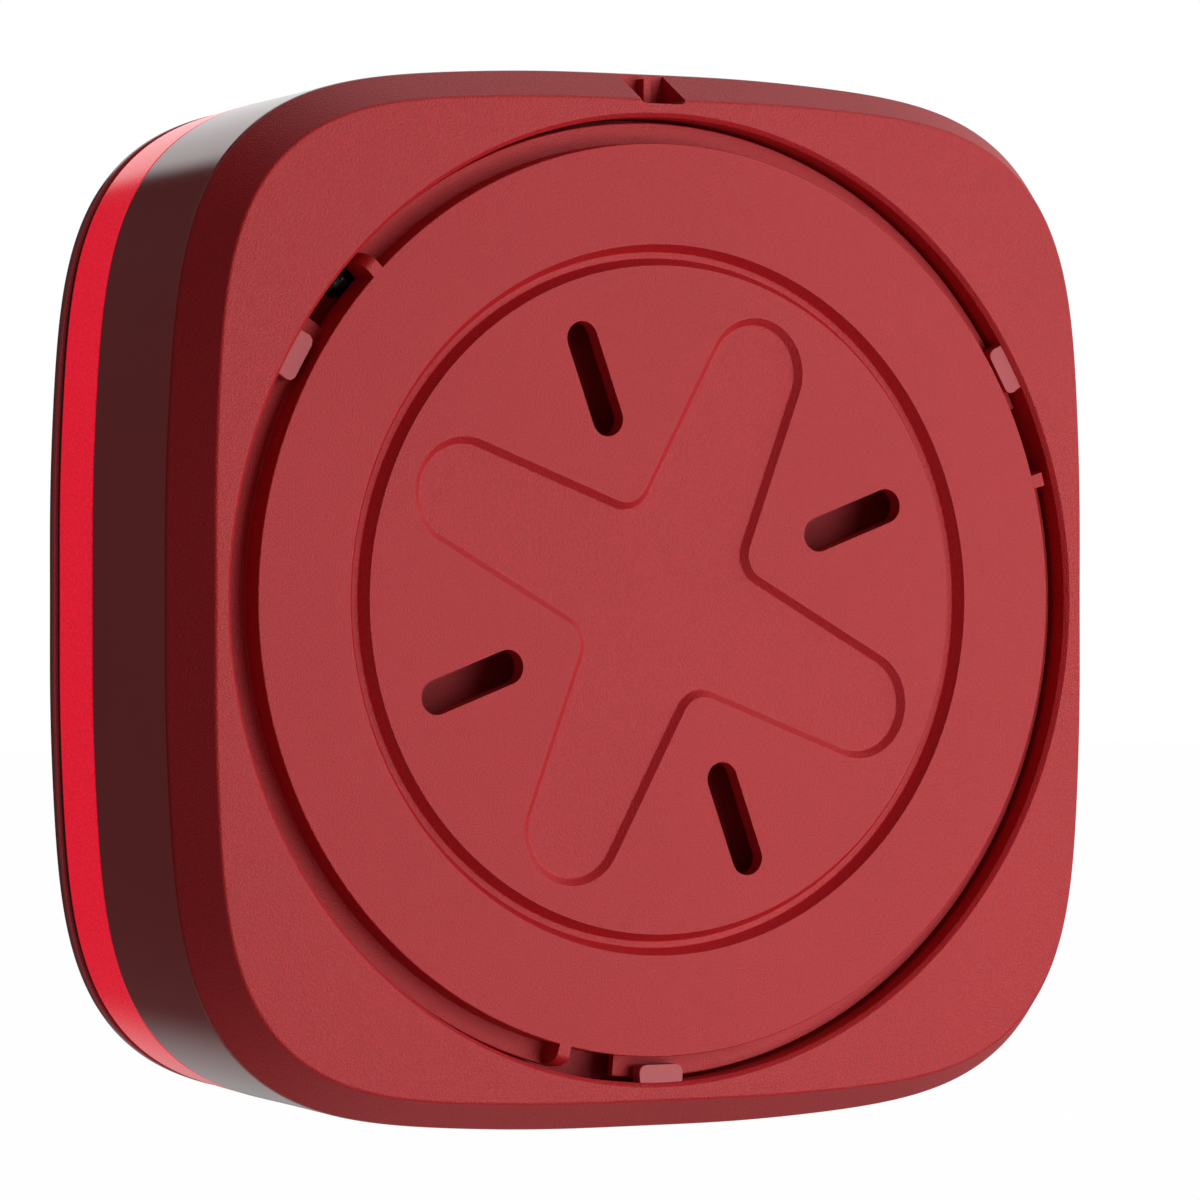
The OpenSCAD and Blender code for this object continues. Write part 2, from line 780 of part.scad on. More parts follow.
mounting_disc();
rear_shell();
side_band();
light_ring();
front_cover();
sound_grille();
front_bezel();
front_gasket();
perimeter_gasket();
ring_reflector();
led_board();
strobe_leds();
main_board();
processor_chip();
driver_chip();
radio_module();
storage_capacitors();
boost_inductor();
antenna();
led_cable();
sounder_frame();
sounder_yoke();
sounder_magnet();
sounder_pole();
sounder_diaphragm();
voice_coil();
horn_flare();
acoustic_mesh();
sounder_gasket();
sounder_leads();
sounder_screws();
battery_holder_left();
battery_holder_right();
battery_cells();
battery_contacts();
battery_springs();
shell_screws();
board_screws();
cover_screws();
tamper_plunger();
tamper_spring();
tamper_switch();
power_button();
button_seal();
power_switch();
status_light_pipe();
status_led();
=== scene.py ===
"""Wall horn strobe seen from behind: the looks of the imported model.

Lengths are in millimetres in a shape's own plane (x, up, depth), where depth runs from the
wall towards the front, and world() turns them into the frame's metres.
"""
import json
import math

import bmesh
import bpy
from mathutils import Matrix, Vector

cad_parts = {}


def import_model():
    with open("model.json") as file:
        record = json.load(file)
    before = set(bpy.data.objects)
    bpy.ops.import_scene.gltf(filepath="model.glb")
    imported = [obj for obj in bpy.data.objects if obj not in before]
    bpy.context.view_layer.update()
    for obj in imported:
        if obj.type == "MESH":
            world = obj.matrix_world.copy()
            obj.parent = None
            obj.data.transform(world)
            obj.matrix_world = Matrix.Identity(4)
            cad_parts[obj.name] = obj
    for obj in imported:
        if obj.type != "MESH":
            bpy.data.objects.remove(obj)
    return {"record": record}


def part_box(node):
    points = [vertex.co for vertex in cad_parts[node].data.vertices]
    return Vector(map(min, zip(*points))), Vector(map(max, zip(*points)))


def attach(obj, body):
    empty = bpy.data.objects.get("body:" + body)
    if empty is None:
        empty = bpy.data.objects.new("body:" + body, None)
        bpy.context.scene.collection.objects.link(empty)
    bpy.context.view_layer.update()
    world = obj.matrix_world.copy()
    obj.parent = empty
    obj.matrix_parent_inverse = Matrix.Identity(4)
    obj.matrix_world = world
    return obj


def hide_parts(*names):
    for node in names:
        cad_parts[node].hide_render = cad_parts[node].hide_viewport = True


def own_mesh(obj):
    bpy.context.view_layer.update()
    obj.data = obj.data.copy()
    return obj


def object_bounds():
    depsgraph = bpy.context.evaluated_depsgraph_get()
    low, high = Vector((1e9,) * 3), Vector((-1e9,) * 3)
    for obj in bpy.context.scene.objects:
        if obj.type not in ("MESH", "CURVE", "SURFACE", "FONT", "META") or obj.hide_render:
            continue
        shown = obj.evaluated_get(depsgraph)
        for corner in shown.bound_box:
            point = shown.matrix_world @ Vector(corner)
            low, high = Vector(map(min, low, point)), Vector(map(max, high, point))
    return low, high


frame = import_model()
cad_low, cad_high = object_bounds()

# ---------------------------------------------------------------- sizes, as in the CAD model
MM = 0.001
AROUND = 720                      # points round a full outline
CIRCLE = 720

HALF_WIDTH = (cad_high.x - cad_low.x) / 2 / MM
HOUSING_DEPTH = -cad_low.y / MM
HALF_DIAGONAL = 99.2
SHAPE_SECOND = 1.27
SHAPE_THIRD = 0.24
OUTLINE_MID = (HALF_WIDTH + HALF_DIAGONAL) / 2 - SHAPE_SECOND
OUTLINE_SWING = (HALF_DIAGONAL - HALF_WIDTH) / 2 - SHAPE_THIRD

WALL_GAP = 0.5
SHELL_SPLIT = 8.4
RING_START = 36.9
RING_END = 50.6
BEZEL_START = 52.6
COVER_START = 53.4
WALL = 2.4
RING_WALL = 2.6
CHAMFER_IN = 4.6
RING_IN_REAR = 1.4
RING_IN_FRONT = 2.35

DISC_R = 71.1
FLANGE_R = 74.5
FLANGE_TOP = 4.4
FLANGE_END = 5.9
PLATE_T = 2.8
SKIRT_IN = DISC_R - 2.2
GROOVE_OUT = 55.35
GROOVE_IN = 52.1
GROOVE_FLOOR = 1.1
GROOVE_DEPTH = 1.9
CROSS_ANGLE = 24.8
CROSS_DEPTH = 1.0
CROSS_TIP_R = 8.6
CROSS_TIP_AT = 39.2
CROSS_MID_R = 11.4
CROSS_CORNER_R = 4.0
SLOT_ANGLE = -20.2
SLOT_R = 36.5
SLOT_L = 18.6
SLOT_W = 5.4
RIB_ANGLE = 44.55
RIB_W = 2.15
RIB_LAND = 1.4
NOTCH_START = 35.45

RECESS_R = 75.2
RECESS_FLOOR = 9.6
FLOOR_T = 2.4
TUB_T = 2.2
SPIGOT_L = 4.6
BEVEL = 0.7                       # round the recess
REAR_ROUND = 0.7                  # round the rear face
HOOK_ANGLE = 30
HOOK_REACH = 2.8
HOOK_W = 7.8
HOOK_START = 1.3
HOOK_T = 2.3
HOOK_CORNER_R = 1
TOP_NOTCH_W = 8.0
TOP_NOTCH_FLOOR = 77.3
TOP_NOTCH_R = 0.8
TOP_NOTCH_END = SHELL_SPLIT - 0.6
PLUNGER_AT = 72.3
PLUNGER_ANGLE = 42.7
BOSS_R = 68.5
BOSS_ANGLE = 15
BUTTON_UP = -34
BUTTON_HOLE_R = 4.08
SCREW_HOLE_R = 1.8
PLUNGER_HOLE_R = 2.82
TRIM_W = 2.8
COVER_T = 2.6
COVER_SKIRT_L = 5.6
GRILLE_R = 28.0
GRILLE_LIP = 0.58
GRILLE_LIP_W = 1.6
GRILLE_ROWS = 5
GRILLE_FIRST_R = 5
GRILLE_PITCH = 4.4
GRILLE_BAR = 3
GRILLE_SLOT = 1.8


# ---------------------------------------------------------------- camera
def make_camera():
    """Level camera behind the object, on its +X side."""
    focal_share = 5.68653           # focal length over the picture's width
    turn = math.radians(29.8864)
    distance = 1062.91 * MM
    aside = 9.9417 * MM
    data = bpy.data.cameras.new("camera")
    data.sensor_width = 36
    data.lens = focal_share * data.sensor_width
    cam = bpy.data.objects.new("camera", data)
    bpy.context.scene.collection.objects.link(cam)
    back = Vector((math.sin(turn), math.cos(turn), 0))
    right = Vector((-math.cos(turn), math.sin(turn), 0))
    rear_centre = Vector((0, -WALL_GAP * MM, 0))
    cam.location = rear_centre + back * distance - right * aside
    cam.rotation_mode = "QUATERNION"
    cam.rotation_quaternion = (-back).to_track_quat("-Z", "Y")
    bpy.context.scene.camera = cam


make_camera()


# ---------------------------------------------------------------- mesh helpers
def world(x, up, depth):
    """Point of the frame, in metres."""
    return Vector((x * MM, -depth * MM, up * MM))


def polar(radius, angle, depth):
    a = math.radians(angle)
    return world(radius * math.cos(a), radius * math.sin(a), depth)


def edge_radius(angle):
    """Radius of the housing's widest outline at an angle."""
    a = math.radians(angle)
    return (OUTLINE_MID - OUTLINE_SWING * math.cos(4 * a) + SHAPE_SECOND * math.cos(8 * a)
            - SHAPE_THIRD * math.cos(12 * a))


def outline_ring(inset, depth):
    """The housing's outline, moved inwards by an inset."""
    angles = [i * 360 / AROUND for i in range(AROUND)]
    return [polar(edge_radius(a) - inset, a, depth) for a in angles]


def circle_ring(radius, depth, count=CIRCLE):
    return [polar(radius, i * 360 / count, depth) for i in range(count)]


def add_rings(bm, rings, close_path=False):
    """Skin between rings of equal length. Returns the rings' vertices."""
    verts = [[bm.verts.new(p) for p in ring] for ring in rings]
    count = len(rings[0])
    pairs = list(zip(verts, verts[1:]))
    if close_path:
        pairs.append((verts[-1], verts[0]))
    for low, high in pairs:
        for i in range(count):
            j = (i + 1) % count
            bm.faces.new((low[i], low[j], high[j], high[i]))
    return verts


def cap(bm, ring):
    bm.faces.new(ring)


def ring_edges(bm, rings):
    """Edges that run along each ring of vertices."""
    return [bm.edges.get(pair) for ring in rings for pair in zip(ring, ring[1:] + ring[:1])]


def fill(bm, loops):
    """Flat region bounded by loops of vertices, the holes included."""
    edges = []
    for loop in loops:
        for i, v in enumerate(loop):
            w = loop[(i + 1) % len(loop)]
            edges.append(bm.edges.get((v, w)) or bm.edges.new((v, w)))
    bmesh.ops.triangle_fill(bm, use_beauty=True, edges=edges)


def new_object(name, bm, weld=2e-7):
    bmesh.ops.remove_doubles(bm, verts=bm.verts, dist=weld)
    bmesh.ops.recalc_face_normals(bm, faces=bm.faces)
    mesh = bpy.data.meshes.new(name)
    bm.to_mesh(mesh)
    bm.free()
    obj = bpy.data.objects.new(name, mesh)
    bpy.context.scene.collection.objects.link(obj)
    return obj


def cut(obj, cutter):
    """Boolean difference, applied at once."""
    mod = obj.modifiers.new("cut", "BOOLEAN")
    mod.operation = "DIFFERENCE"
    mod.solver = "EXACT"
    mod.object = cutter
    apply_modifiers(obj)
    bpy.data.objects.remove(cutter, do_unlink=True)


def apply_modifiers(obj):
    graph = bpy.context.evaluated_depsgraph_get()
    mesh = bpy.data.meshes.new_from_object(obj.evaluated_get(graph))
    obj.modifiers.clear()
    old = obj.data
    obj.data = mesh
    bpy.data.meshes.remove(old)


def join_into(obj, parts, slot=0):
    """Adds closed parts to a mesh, in one of its material slots."""
    whole = bmesh.new()
    whole.from_mesh(obj.data)
    for part in parts:
        for face in part.faces:
            face.material_index = slot
        mesh = bpy.data.meshes.new("part")
        part.to_mesh(mesh)
        part.free()
        whole.from_mesh(mesh)
        bpy.data.meshes.remove(mesh)
    whole.to_mesh(obj.data)
    whole.free()


def smooth(obj, angle=32):
    """Smooth shading that keeps flat faces flat and sharp edges sharp."""
    for poly in obj.data.polygons:
        poly.use_smooth = True
    obj.data.set_sharp_from_angle(angle=math.radians(angle))
    mod = obj.modifiers.new("flat faces stay flat", "WEIGHTED_NORMAL")
    mod.keep_sharp = True
    mod.mode = "FACE_AREA"


def add_prism(bm, loop, low, high):
    """Closed prism: loop(depth) gives its outline at a depth."""
    verts = add_rings(bm, [loop(low), loop(high)])
    cap(bm, verts[0])
    cap(bm, verts[1])


def arc(centre, radius, start, end, steps):
    """Points of an arc in the plane, both ends included."""
    out = []
    for i in range(steps + 1):
        a = math.radians(start + (end - start) * i / steps)
        out.append((centre[0] + radius * math.cos(a), centre[1] + radius * math.sin(a)))
    return out


def turned(points, angle):
    """Points turned about the plane's origin."""
    c = math.cos(math.radians(angle))
    s = math.sin(math.radians(angle))
    return [(x * c - y * s, x * s + y * c) for x, y in points]


def rounded_rect(x0, x1, y0, y1, radius, steps=6):
    """Outline of a rectangle with round corners."""
    return (arc((x1 - radius, y1 - radius), radius, 0, 90, steps)
            + arc((x0 + radius, y1 - radius), radius, 90, 180, steps)
            + arc((x0 + radius, y0 + radius), radius, 180, 270, steps)
            + arc((x1 - radius, y0 + radius), radius, 270, 360, steps))


def at_depth(points, depth):
    return [world(x, y, depth) for x, y in points]


# ---------------------------------------------------------------- materials
def mix_colour(nt, factor, low, high):
    node = nt.nodes.new("ShaderNodeMix")
    node.data_type = "RGBA"
    node.inputs["A"].default_value = (*low, 1)
    node.inputs["B"].default_value = (*high, 1)
    nt.links.new(factor, node.inputs["Factor"])
    return node.outputs["Result"]


def noise(nt, scale, detail=3.0, roughness=0.55):
    coord = nt.nodes.new("ShaderNodeTexCoord")
    tex = nt.nodes.new("ShaderNodeTexNoise")
    tex.inputs["Scale"].default_value = scale
    tex.inputs["Detail"].default_value = detail
    tex.inputs["Roughness"].default_value = roughness
    nt.links.new(coord.outputs["Object"], tex.inputs["Vector"])
    return tex.outputs["Fac"]


def ranged(nt, value, low, high, out_low, out_high):
    node = nt.nodes.new("ShaderNodeMapRange")
    node.inputs["From Min"].default_value = low
    node.inputs["From Max"].default_value = high
    node.inputs["To Min"].default_value = out_low
    node.inputs["To Max"].default_value = out_high
    nt.links.new(value, node.inputs["Value"])
    return node.outputs["Result"]


def bump(nt, height, strength, distance, below=None):
    node = nt.nodes.new("ShaderNodeBump")
    node.inputs["Strength"].default_value = strength
    node.inputs["Distance"].default_value = distance
    nt.links.new(height, node.inputs["Height"])
    if below is not None:
        nt.links.new(below, node.inputs["Normal"])
    return node.outputs["Normal"]


def material(name):
    mat = bpy.data.materials.new(name)
    mat.use_nodes = True
    nt = mat.node_tree
    return mat, nt, nt.nodes["Principled BSDF"]


def moulded(name, dark, light, rough_low, rough_high, grain_scale, grain_bump, tint=0.06):
    """Moulded plastic with spark-eroded grain, faint colour drift and worn-smooth spots."""
    mat, nt, shader = material(name)
    drift = noise(nt, 30, 2)
    grain = noise(nt, grain_scale, 2, 0.5)
    fine = noise(nt, grain_scale * 2.7, 1, 0.5)
    base = mix_colour(nt, ranged(nt, drift, 0.3, 0.7, 0, 1), dark, light)
    speck = nt.nodes.new("ShaderNodeMix")
    speck.data_type = "RGBA"
    speck.blend_type = "MULTIPLY"
    speck.inputs["Factor"].default_value = 1
    nt.links.new(base, speck.inputs["A"])
    nt.links.new(mix_colour(nt, ranged(nt, grain, 0.3, 0.7, 0, 1), (1 - tint,) * 3,
                            (1 + tint,) * 3), speck.inputs["B"])
    nt.links.new(speck.outputs["Result"], shader.inputs["Base Color"])
    nt.links.new(ranged(nt, fine, 0.3, 0.7, rough_low, rough_high), shader.inputs["Roughness"])
    nt.links.new(bump(nt, grain, grain_bump, 0.00012), shader.inputs["Normal"])
    return mat


def glossy(name, dark, light, roughness, coat=0.6):
    """Polished plastic: slow waves in the surface and faint roughness streaks."""
    mat, nt, shader = material(name)
    drift = noise(nt, 18, 2)
    wave = noise(nt, 45, 1)
    fine = noise(nt, 900, 2)
    nt.links.new(mix_colour(nt, ranged(nt, drift, 0.3, 0.7, 0, 1), dark, light),
                 shader.inputs["Base Color"])
    nt.links.new(ranged(nt, fine, 0.3, 0.7, roughness * 0.9, roughness * 1.15),
                 shader.inputs["Roughness"])
    shader.inputs["Coat Weight"].default_value = coat
    shader.inputs["Coat Roughness"].default_value = 0.05
    nt.links.new(bump(nt, wave, 0.03, 0.0004), shader.inputs["Normal"])
    return mat


def ring_with_painted_glow():
    """Translucent diffuser whose glow is painted on as emission, with a fine speckle."""
    mat, nt, shader = material("ring_diffuser")
    speckle = noise(nt, 2600, 2, 0.6)
    drift = noise(nt, 25, 2)
    painted_glow = mix_colour(nt, ranged(nt, speckle, 0.35, 0.65, 0, 1),
                      (0.54, 0.0004, 0.012), (0.80, 0.0030, 0.026))
    nt.links.new(mix_colour(nt, drift, (0.50, 0.002, 0.02), (0.60, 0.004, 0.03)),
                 shader.inputs["Base Color"])
    # painted glow: the emission makes the ring look lit from inside
    nt.links.new(painted_glow, shader.inputs["Emission Color"])
    shader.inputs["Emission Strength"].default_value = 1.0
    nt.links.new(ranged(nt, speckle, 0.3, 0.7, 0.22, 0.30), shader.inputs["Roughness"])
    shader.inputs["Coat Weight"].default_value = 0.6
    shader.inputs["Coat Roughness"].default_value = 0.06
    shader.inputs["Specular IOR Level"].default_value = 0.3
    nt.links.new(bump(nt, speckle, 0.15, 0.00005), shader.inputs["Normal"])
    return mat


def metal(name, dark, light, roughness):
    """Plated metal with fine streaks."""
    mat, nt, shader = material(name)
    streak = noise(nt, 700, 3)
    nt.links.new(mix_colour(nt, streak, dark, light), shader.inputs["Base Color"])
    shader.inputs["Metallic"].default_value = 1
    nt.links.new(ranged(nt, streak, 0.3, 0.7, roughness * 0.8, roughness * 1.3),
                 shader.inputs["Roughness"])
    nt.links.new(bump(nt, streak, 0.2, 0.00002), shader.inputs["Normal"])
    return mat


def woven(name, dark, light, pitch):
    """Fine woven mesh."""
    mat, nt, shader = material(name)
    coord = nt.nodes.new("ShaderNodeTexCoord")
    heights = []
    for axis in ("X", "Z"):
        wave = nt.nodes.new("ShaderNodeTexWave")
        wave.bands_direction = axis
        wave.inputs["Scale"].default_value = 0.314 / pitch
        nt.links.new(coord.outputs["Object"], wave.inputs["Vector"])
        heights.append(wave.outputs["Fac"])
    both = nt.nodes.new("ShaderNodeMath")
    both.operation = "MULTIPLY"
    nt.links.new(heights[0], both.inputs[0])
    nt.links.new(heights[1], both.inputs[1])
    nt.links.new(mix_colour(nt, both.outputs[0], dark, light), shader.inputs["Base Color"])
    nt.links.new(ranged(nt, both.outputs[0], 0, 1, 0.6, 0.8), shader.inputs["Roughness"])
    nt.links.new(bump(nt, both.outputs[0], 0.6, 0.0001), shader.inputs["Normal"])
    return mat


def clear_plastic():
    """Polished clear plastic with a faint haze."""
    mat, nt, shader = material("clear_plastic")
    haze = noise(nt, 400, 2)
    nt.links.new(mix_colour(nt, haze, (0.9, 0.9, 0.92), (0.96, 0.96, 0.97)),
                 shader.inputs["Base Color"])
    nt.links.new(ranged(nt, haze, 0.3, 0.7, 0.06, 0.16), shader.inputs["Roughness"])
    shader.inputs["Transmission Weight"].default_value = 0.9
    shader.inputs["IOR"].default_value = 1.58
    return mat


MATERIALS = {
    "shell_plastic": moulded("shell_plastic", (0.445, 0.0022, 0.0070), (0.465, 0.0026, 0.0085),
                             0.48, 0.64, 3400, 1.2, 0.14),
    # hooks: a paler, pinker copy of the shell plastic, the extra paleness is painted sheen
    "hook_plastic": moulded("hook_plastic", (0.42, 0.025, 0.032), (0.44, 0.028, 0.036),
                            0.40, 0.48, 3000, 0.15, 0.02),
    "gloss_band": glossy("gloss_band", (0.40, 0.0020, 0.0060), (0.43, 0.0026, 0.0075), 0.16),
    "ring_diffuser": ring_with_painted_glow(),
    "cover_plastic": glossy("cover_plastic", (0.30, 0.0030, 0.0075), (0.33, 0.0040, 0.0090),
                            0.12, 0.8),
    # bezel: the pale pink colour is painted light, standing in for light the lamps do not put on
    # it
    "bezel_plastic": moulded("bezel_plastic", (0.62, 0.060, 0.070), (0.66, 0.072, 0.082),
                             0.35, 0.45, 2400, 0.3, 0.04),
    "seal_rubber": moulded("seal_rubber", (0.008,) * 3, (0.013,) * 3, 0.6, 0.8, 1800, 0.3),
    "white_plastic": moulded("white_plastic", (0.72, 0.72, 0.70), (0.80, 0.80, 0.78),
                             0.35, 0.5, 2200, 0.2),
    "board_laminate": moulded("board_laminate", (0.012, 0.085, 0.04), (0.018, 0.11, 0.055),
                              0.25, 0.4, 1500, 0.25),
    "led_package": moulded("led_package", (0.80, 0.74, 0.45), (0.88, 0.82, 0.55),
                           0.15, 0.25, 2000, 0.1),
    "black_plastic": moulded("black_plastic", (0.012,) * 3, (0.018,) * 3, 0.4, 0.55, 2200, 0.3),
    "shield_steel": metal("shield_steel", (0.52, 0.52, 0.54), (0.64, 0.64, 0.66), 0.28),
    "antenna_brass": metal("antenna_brass", (0.62, 0.48, 0.24), (0.74, 0.58, 0.32), 0.22),
    "diaphragm_film": moulded("diaphragm_film", (0.55, 0.48, 0.32), (0.64, 0.57, 0.40),
                              0.3, 0.42, 1200, 0.2),
    "coil_copper": metal("coil_copper", (0.70, 0.30, 0.15), (0.80, 0.40, 0.22), 0.25),
    "mesh_fabric": woven("mesh_fabric", (0.008,) * 3, (0.05,) * 3, 0.35 * MM),
    "cell_can": moulded("cell_can", (0.66, 0.52, 0.08), (0.76, 0.62, 0.12), 0.2, 0.3, 900, 0.08),
    "clear_plastic": clear_plastic(),
    "plunger_plastic": glossy("plunger_plastic", (0.006,) * 3, (0.009,) * 3, 0.22, 0.5),
}
SLOT_OF = {row["node"]: row["material_slot"] for row in frame["record"]["subparts"]}


def paint(obj, *names):
    """Sets a mesh's material slots and keeps which face uses which."""
    indices = [poly.material_index for poly in obj.data.polygons]
    obj.data.materials.clear()
    for name in names:
        obj.data.materials.append(MATERIALS[name])
    obj.data.polygons.foreach_set("material_index", indices)


# ---------------------------------------------------------------- mounting disc
def cross_outline(grow):
    """The cross grown outwards: four round-ended tapered arms with filleted inner corners."""
    tip = CROSS_TIP_R + grow
    lean = math.degrees(math.acos((CROSS_MID_R - CROSS_TIP_R) / CROSS_TIP_AT))
    half_gap = 90 / 2 - (90 - lean)
    fillet_at = (CROSS_MID_R + CROSS_CORNER_R) / math.cos(math.radians(half_gap))
    fillet = CROSS_CORNER_R - grow
    points = []
    for k in range(4):
        a = CROSS_ANGLE + 90 * k
        centre = turned([(CROSS_TIP_AT, 0)], a)[0]
        points += arc(centre, tip, a - lean, a + lean, 40)
        centre = turned([(fillet_at, 0)], a + 45)[0]
        points += arc(centre, fillet, a + lean + 180, a + 90 - lean + 180, 16)
    return points


def slot_outline(grow, angle):
    """A wall screw slot with round ends, grown outwards."""
    reach = (SLOT_L - SLOT_W) / 2
    radius = SLOT_W / 2 + grow
    points = (arc((SLOT_R + reach, 0), radius, -90, 90, 20)
              + arc((SLOT_R - reach, 0), radius, 90, 270, 20))
    return turned(points, angle)


def rib_block(angle):
    """Stop rib: a short land level with the disc face, then a round down to the flange."""
    root = DISC_R - 1.5
    land_end = DISC_R + RIB_LAND
    foot = FLANGE_R - 0.1
    reach = foot - land_end
    sunk = 0.002
    side = [(root, 0.5), (DISC_R - 0.5, sunk)]
    side += [(land_end + reach * math.sin(t), FLANGE_TOP * (1 - math.cos(t)) + sunk)
             for t in (math.pi / 2 * i / 24 for i in range(25))]
    side += [(foot, FLANGE_END), (root, FLANGE_END)]
    bm = bmesh.new()
    rings = [[world(r, across, d) for r, d in side] for across in (-RIB_W / 2, RIB_W / 2)]
    verts = add_rings(bm, rings)
    cap(bm, verts[0])
    cap(bm, verts[1])
    bmesh.ops.bevel(bm, geom=ring_edges(bm, verts), offset=0.10 * MM, segments=3,
                    affect="EDGES", profile=0.5)
    turn = Matrix.Rotation(-math.radians(angle), 3, "Y")
    bmesh.ops.rotate(bm, verts=bm.verts, cent=(0, 0, 0), matrix=turn)
    bmesh.ops.recalc_face_normals(bm, faces=bm.faces)
    return bm


def sector_cutter(bm, inner, outer, low, high, start, end, steps=12):
    loop = arc((0, 0), outer, start, end, steps) + arc((0, 0), inner, end, start, steps)
    add_prism(bm, lambda depth: at_depth(loop, depth), low, high)


def mounting_disc():
    """Wall disc: cross, slots, groove, flange with notches, and stop ribs."""
    bm = bmesh.new()
    soft = [(0.06, 0.0), (0.02, 0.01), (0.0, 0.04)]
    # the cross: soft upper edge, sloped wall, flat floor
    slope = [(-1.0, CROSS_DEPTH - 0.07), (-1.10, CROSS_DEPTH - 0.02), (-1.25, CROSS_DEPTH)]
    cross = add_rings(bm, [at_depth(cross_outline(g), d) for g, d in soft + slope])
    fill(bm, [cross[-1]])
    # the slots, through the plate
    holes = []
    exits = []
    walls = soft + [(0.0, PLATE_T)]
    for k in range(4):
        angle = SLOT_ANGLE + 90 * k
        slot = add_rings(bm, [at_depth(slot_outline(g, angle), d) for g, d in walls])
        holes.append(slot[0])
        exits.append(slot[-1])
    # groove, outer land, skirt and flange as one turned profile
    mid = (GROOVE_OUT + GROOVE_IN) / 2
    profile = [
        (GROOVE_IN - 0.06, 0), (GROOVE_IN - 0.02, 0.01), (GROOVE_IN + 0.01, 0.04),
        (mid - GROOVE_FLOOR / 2 - 0.10, GROOVE_DEPTH - 0.14),
        (mid - GROOVE_FLOOR / 2 + 0.10, GROOVE_DEPTH),
        (mid + GROOVE_FLOOR / 2 - 0.10, GROOVE_DEPTH),
        (mid + GROOVE_FLOOR / 2 + 0.10, GROOVE_DEPTH - 0.14),
        (GROOVE_OUT - 0.01, 0.04), (GROOVE_OUT + 0.02, 0.01), (GROOVE_OUT + 0.06, 0),
        (DISC_R - 0.20, 0), (DISC_R - 0.10, 0.03), (DISC_R - 0.03, 0.10), (DISC_R, 0.20),
        (DISC_R, FLANGE_TOP - 0.15), (DISC_R + 0.15, FLANGE_TOP),
        (FLANGE_R - 0.15, FLANGE_TOP), (FLANGE_R, FLANGE_TOP + 0.15),
        (FLANGE_R, FLANGE_END), (SKIRT_IN, FLANGE_END), (SKIRT_IN, PLATE_T),
        (GROOVE_OUT + 1.2, PLATE_T), (GROOVE_OUT, PLATE_T + 1), (GROOVE_IN, PLATE_T + 1),
        (GROOVE_IN - 1.2, PLATE_T),
    ]
    turn = add_rings(bm, [circle_ring(r, d) for r, d in profile])
    fill(bm, [turn[0], cross[0]] + holes)
    fill(bm, [turn[-1]] + exits)
    disc = new_object("mounting_disc_look", bm)
    rib_half = math.degrees(RIB_W / 2 / DISC_R)
    cutter = bmesh.new()
    for k in range(3):
        sector_cutter(cutter, DISC_R + 0.001, FLANGE_R + 1, FLANGE_TOP - 0.4, FLANGE_END + 0.4,
                      NOTCH_START + 120 * k, RIB_ANGLE - rib_half + 120 * k)
    cut(disc, new_object("flange_notches", cutter))
    join_into(disc, [rib_block(RIB_ANGLE + 120 * k) for k in range(3)])
    smooth(disc)
    paint(disc, "shell_plastic")
    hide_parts("mounting_disc")
    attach(disc, "wall_disc")


# ---------------------------------------------------------------- rear shell
def hook_mesh(angle):
    """Bayonet hook that reaches inwards over the disc's flange."""
    inner = RECESS_R - HOOK_REACH
    root = RECESS_R + 0.5
    corner_at = inner + HOOK_CORNER_R
    corner_out = HOOK_W / 2 - HOOK_CORNER_R
    loop = turned([(root, HOOK_W / 2)]
                  + arc((corner_at, corner_out), HOOK_CORNER_R, 90, 180, 8)
                  + arc((corner_at, -corner_out), HOOK_CORNER_R, 180, 270, 8)
                  + [(root, -HOOK_W / 2)], angle)
    bm = bmesh.new()
    add_prism(bm, lambda depth: at_depth(loop, depth), HOOK_START, HOOK_START + HOOK_T)
    flat = [e for e in bm.edges if abs(e.verts[0].co.y - e.verts[1].co.y) < 1e-9]
    bmesh.ops.bevel(bm, geom=flat, offset=0.18 * MM, segments=3, affect="EDGES", profile=0.5)
    bmesh.ops.recalc_face_normals(bm, faces=bm.faces)
    return bm


def rear_edge():
    """(inset, depth) points: rear face, round edge, chamfer, and the small round at the band."""
    lean = math.degrees(math.atan2(SHELL_SPLIT - WALL_GAP, CHAMFER_IN))
    setback = REAR_ROUND * math.tan(math.radians(lean) / 2)
    edge = []
    for i in range(9):
        t = math.radians(lean * i / 8)
        edge.append((CHAMFER_IN + setback - REAR_ROUND * math.sin(t),
                     WALL_GAP + REAR_ROUND * (1 - math.cos(t))))
    return edge + [(0.28, SHELL_SPLIT - 0.48), (0.14, SHELL_SPLIT - 0.22), (0.12, SHELL_SPLIT)]


def top_notch():
    """Outline of the notch at the top edge, open upwards."""
    side = TOP_NOTCH_W / 2
    corner_at = side - TOP_NOTCH_R
    corner_up = TOP_NOTCH_FLOOR + TOP_NOTCH_R
    above = TOP_NOTCH_FLOOR + 9
    return (arc((-corner_at, corner_up), TOP_NOTCH_R, 180, 270, 6)
            + arc((corner_at, corner_up), TOP_NOTCH_R, 270, 360, 6)
            + [(side, above), (-side, above)])


def notch_rib():
    """Small upright rib at the front of the top notch."""
    loop = rounded_rect(-0.6, 0.6, TOP_NOTCH_FLOOR - 0.3, TOP_NOTCH_FLOOR + 4.3, 0.25, 4)
    bm = bmesh.new()
    add_prism(bm, lambda depth: at_depth(loop, depth), TOP_NOTCH_END - 2.1, TOP_NOTCH_END + 0.3)
    bmesh.ops.recalc_face_normals(bm, faces=bm.faces)
    return bm


